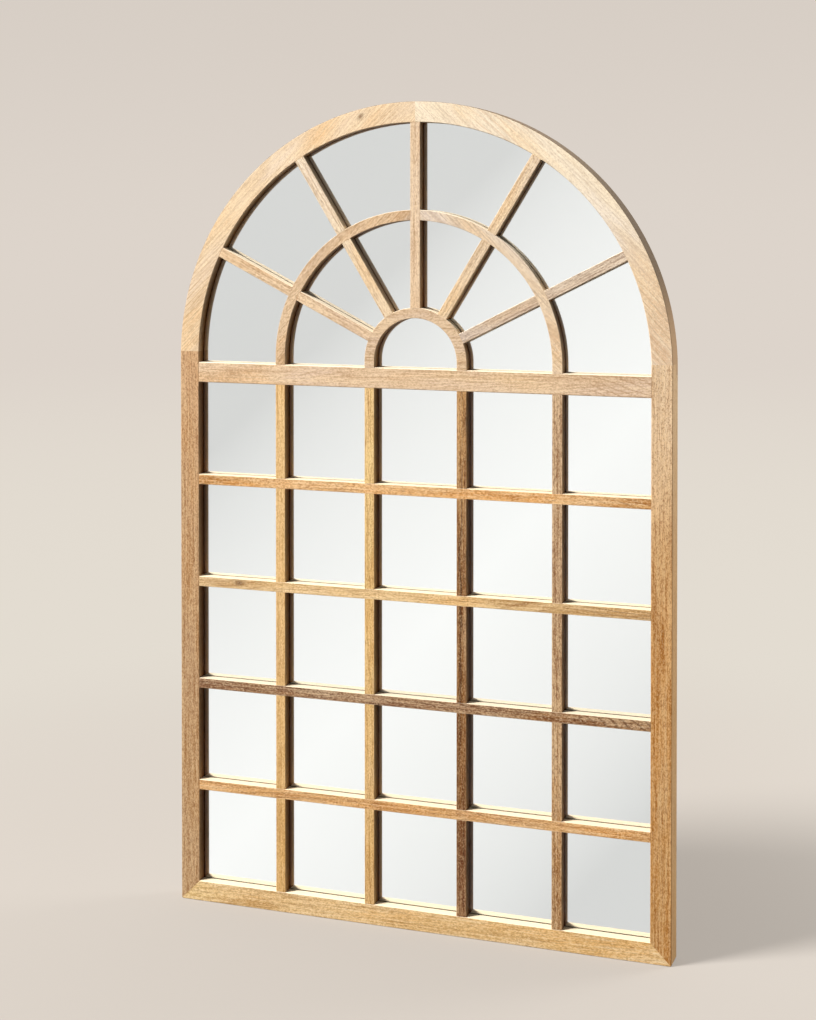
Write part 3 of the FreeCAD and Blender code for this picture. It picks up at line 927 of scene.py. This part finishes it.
studio = {
    "floor": (168, 161, 153),
    "floorCloud": 4,          # how much darker the floor gets in its clouds
    "floorBounce": (104, 97, 88),     # its colour for the light that it throws back
    "floorNear": (223, 214, 204),     # what the lit floor comes out as
    "backdropLow": (227, 220, 209),
    "backdropMid": (221, 212, 203),
    "backdropTop": (215, 206, 197),
    "shadowSoft": 0.42,       # share of the floor that takes no shadow
    "fadeStart": 0.6,         # metres from the object, where floor turns into backdrop
    "fadeEnd": 2.4,
    "wallStart": 2.5,         # and where the backdrop's low tone turns into its middle one
    "wallEnd": 14.0,
    "glassDim": 0.742,        # the grey and the white that the glass shows
    "glassWhite": 1.05,
    "bandMiddle": 5.9,        # degrees, of the white band in the glass
    "bandHalf": 12.3,
    "sky": 0.55,
    "shade": 0.72,            # how much darker the right front is
    "behindLow": 0.22,        # what the object's outer sides reflect from behind
    "behindRise": 0.7,
}


def stageFloor():
    shape = bmesh.new()
    reach = 30.0
    corners = ((-reach, -reach, 0), (reach, -reach, 0), (reach, reach, 0), (-reach, reach, 0))
    shape.faces.new([shape.verts.new(place) for place in corners])
    made = plainObject("floor", shape)
    material, r = newMaterial("floor")
    rays = r.tree.nodes.new("ShaderNodeLightPath")
    seen = Wire(r.tree, rays.outputs["Is Camera Ray"])
    glossy = Wire(r.tree, rays.outputs["Is Glossy Ray"])
    passed = Wire(r.tree, rays.outputs["Is Transmission Ray"])
    point = r.node("ShaderNodeTexCoord", output=3)
    cloud = r.noise(r.stretch(point, (0.8, 0.8, 0.8), 1.0), detail=2.0)
    clouded = [part - studio["floorCloud"] for part in studio["floor"]]
    tone = r.mix(colour(*studio["floor"]), colour(*clouded), cloud)
    tone = r.mix(colour(*studio["floorBounce"]), tone, seen)
    x, y, z = r.apart(point)
    far = (x * x + y * y).root()
    away = far.between(studio["fadeStart"], studio["fadeEnd"])
    hidden = away + (1 - away) * studio["shadowSoft"]
    wall = r.mix(colour(*studio["backdropLow"]), colour(*studio["backdropMid"]),
                 far.between(studio["wallStart"], studio["wallEnd"]))
    wall = r.mix(colour(*studio["floorNear"]), wall, away)
    matt = r.node("ShaderNodeBsdfDiffuse", inputs={"Color": tone})
    glow = r.node("ShaderNodeEmission", inputs={"Color": wall})
    plain = r.node("ShaderNodeMixShader", inputs={0: hidden * seen, 1: matt, 2: glow})
    clear = r.node("ShaderNodeBsdfTransparent")
    share = glossy.math("MAXIMUM", glossy, passed)
    finishMaterial(r, r.node("ShaderNodeMixShader", inputs={0: share, 1: plain, 2: clear}))
    made.data.materials.append(material)


def studioWorld():
    world = bpy.data.worlds.new("studio")
    bpy.context.scene.world = world
    world.use_nodes = True
    r = Recipe(world.node_tree)
    rays = r.tree.nodes.new("ShaderNodeLightPath")
    camera = Wire(r.tree, rays.outputs["Is Camera Ray"])
    glossy = Wire(r.tree, rays.outputs["Is Glossy Ray"])
    passed = Wire(r.tree, rays.outputs["Is Transmission Ray"])
    bounced = Wire(r.tree, rays.outputs["Diffuse Depth"])
    way = r.node("ShaderNodeTexCoord", output=0)
    x, y, z = r.apart(way)
    # a white band runs at a slant across what the glass shows of the room
    sideways = x.math("ARCTAN2", x * -1, y * -1) * math.degrees(1)
    upward = z.math("ARCSINE", z) * math.degrees(1)
    off = (abs(sideways + upward - studio["bandMiddle"]) / studio["bandHalf"]).clamped()
    fall = off * 0.55 + off ** 4 * 0.45
    shown = studio["glassWhite"] - fall * (studio["glassWhite"] - studio["glassDim"])
    # behind the object the room is dark low down and bright higher up
    behind = y.between(0.05, 0.2)
    fromBehind = studio["behindLow"] + z.between(0.02, 0.16) * studio["behindRise"]
    shown = shown + (fromBehind - shown) * behind
    # and it is dimmer to the right in front
    toRight = (x * 0.75 - y * 0.66).between(-0.2, 0.85)
    light = studio["sky"] * (1.0 - toRight * studio["shade"])
    seen = glossy.math("MAXIMUM", glossy, passed) * (1 - bounced.clamped())
    strength = light + (shown - light) * seen
    strength = strength + (1.0 - strength) * camera
    wall = r.mix(colour(*studio["backdropMid"]), colour(*studio["backdropTop"]), z.between(-0.03, 0.13))
    tone = r.mix((1, 1, 1, 1), wall, camera)
    background = r.node("ShaderNodeBackground", inputs={"Color": tone, "Strength": strength})
    r.node("ShaderNodeOutputWorld", inputs={"Surface": background})


lamps = {
    "key": {"place": (-7.0, -5.9, 11.5), "target": (0, 0, 0.9), "size": 3.6, "power": 3650},
    "rear": {"place": (2.8, 2.2, 1.6), "target": (0.2, 0, 0.9), "size": 1.6, "power": 80},
}


def softLamp(name, place, target, size, power):
    data = bpy.data.lights.new(name, "AREA")
    data.shape = "DISK"
    data.size = size
    data.energy = power
    lamp = bpy.data.objects.new(name, data)
    bpy.context.scene.collection.objects.link(lamp)
    lamp.location = place
    lamp.rotation_euler = (Vector(target) - Vector(place)).to_track_quat("-Z", "Y").to_euler()
    lamp.visible_glossy = False
    lamp.visible_transmission = False
    lamp.visible_camera = False


stageFloor()
studioWorld()
for name, lamp in lamps.items():
    softLamp(name, **lamp)
print("studio")


# Camera: fitted to the photograph's edges. A view camera's rise keeps uprights upright.

cameraPlan = {
    "place": (1.1665, -3.3240, 1.4010),
    "down": 1.02,             # degrees
    "left": 19.68,
    "lens": 64.45,
    "rise": -0.267,
}
cameraData = bpy.data.cameras.new("camera")
cameraData.lens = cameraPlan["lens"]
cameraData.sensor_width = 36
cameraData.shift_y = cameraPlan["rise"]
camera = bpy.data.objects.new("camera", cameraData)
bpy.context.scene.collection.objects.link(camera)
camera.location = cameraPlan["place"]
camera.rotation_euler = (math.radians(90 - cameraPlan["down"]), 0, math.radians(cameraPlan["left"]))
bpy.context.scene.camera = camera
bpy.context.scene.view_settings.view_transform = "Standard"
